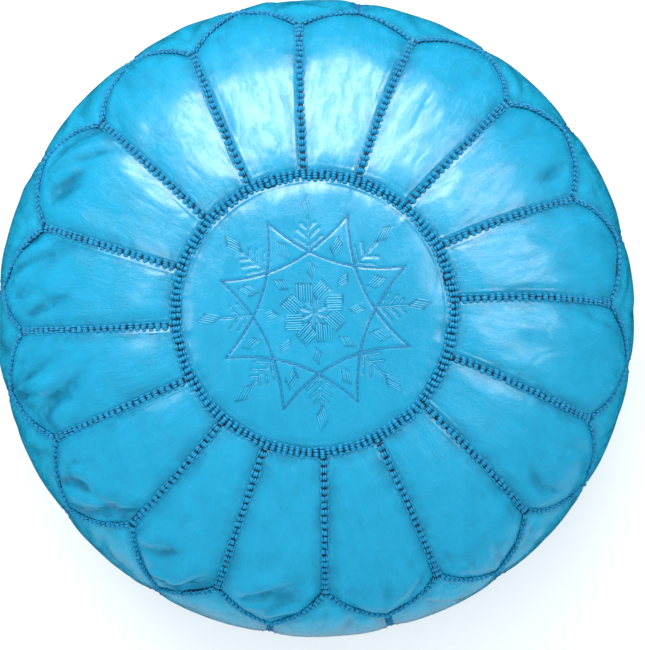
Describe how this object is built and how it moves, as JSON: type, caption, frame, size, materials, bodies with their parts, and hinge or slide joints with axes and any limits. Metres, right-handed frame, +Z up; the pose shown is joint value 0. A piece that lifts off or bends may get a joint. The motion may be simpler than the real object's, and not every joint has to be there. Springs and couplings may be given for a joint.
{
  "type": "pouf",
  "caption": "Low round leather pouf: arched top panels round an embroidered disc, tall side panels, braided seams, stuffed lining bag and a zip across the recessed base.",
  "frame": {"origin": "centre of the footprint, on the floor", "axes": "+Z up through the middle of the embroidered disc; +Y is the back and the zip runs along X"},
  "size_m": [0.53, 0.53, 0.3307],
  "materials": {
    "leather": "semi-gloss dyed and waxed sheepskin, pale turquoise blue, lightly creased",
    "braid_thread": "thick soft lustrous thread in bundles, the leather's blue",
    "embroidery_thread": "lustrous thread laid in satin stitch, the leather's blue",
    "lining_cloth": "plain undyed cotton",
    "stuffing": "loose cotton wadding",
    "zip_tape": "woven herringbone tape, dark blue",
    "zip_metal": "satin brass"
  },
  "bodies": {
    "cover": {"top_disc": "leather", "top_petal_01": "leather", "top_petal_02": "leather", "top_petal_03": "leather", "top_petal_04": "leather", "top_petal_05": "leather", "top_petal_06": "leather", "top_petal_07": "leather", "top_petal_08": "leather", "top_petal_09": "leather", "top_petal_10": "leather", "top_petal_11": "leather", "top_petal_12": "leather", "top_petal_13": "leather", "top_petal_14": "leather", "top_petal_15": "leather", "top_petal_16": "leather", "side_panel_01": "leather", "side_panel_02": "leather", "side_panel_03": "leather", "side_panel_04": "leather", "side_panel_05": "leather", "side_panel_06": "leather", "side_panel_07": "leather", "side_panel_08": "leather", "side_panel_09": "leather", "side_panel_10": "leather", "side_panel_11": "leather", "side_panel_12": "leather", "side_panel_13": "leather", "side_panel_14": "leather", "side_panel_15": "leather", "side_panel_16": "leather", "base_half_front": "leather", "base_half_back": "leather", "ring_braid": "braid_thread", "top_seam_braids": "braid_thread", "arch_braids": "braid_thread", "side_seam_braids": "braid_thread", "base_ring_braid": "braid_thread", "embroidery_star": "embroidery_thread", "embroidery_rosette": "embroidery_thread", "embroidery_leaves": "embroidery_thread", "embroidery_sprays": "embroidery_thread", "disc_backing": "lining_cloth", "lining_bag": "lining_cloth", "stuffing": "stuffing", "zip_tape_front": "zip_tape", "zip_tape_back": "zip_tape", "zip_teeth_front": "zip_metal", "zip_teeth_back": "zip_metal", "zip_top_stops": "zip_metal", "zip_bottom_stop": "zip_metal"},
    "slider": {"zip_slider": "zip_metal"},
    "pull": {"zip_pull": "zip_metal"}
  },
  "joints": [
    {"name": "zip_slide", "type": "slide", "parent": "cover", "child": "slider", "axis": [1, 0, 0], "range_m": [0, 0.216]},
    {"name": "pull_hinge", "type": "hinge", "parent": "slider", "child": "pull", "pos_m": [-0.107, 0, 0.0047], "axis": [0, 1, 0], "range_deg": [0, 180]}
  ]
}
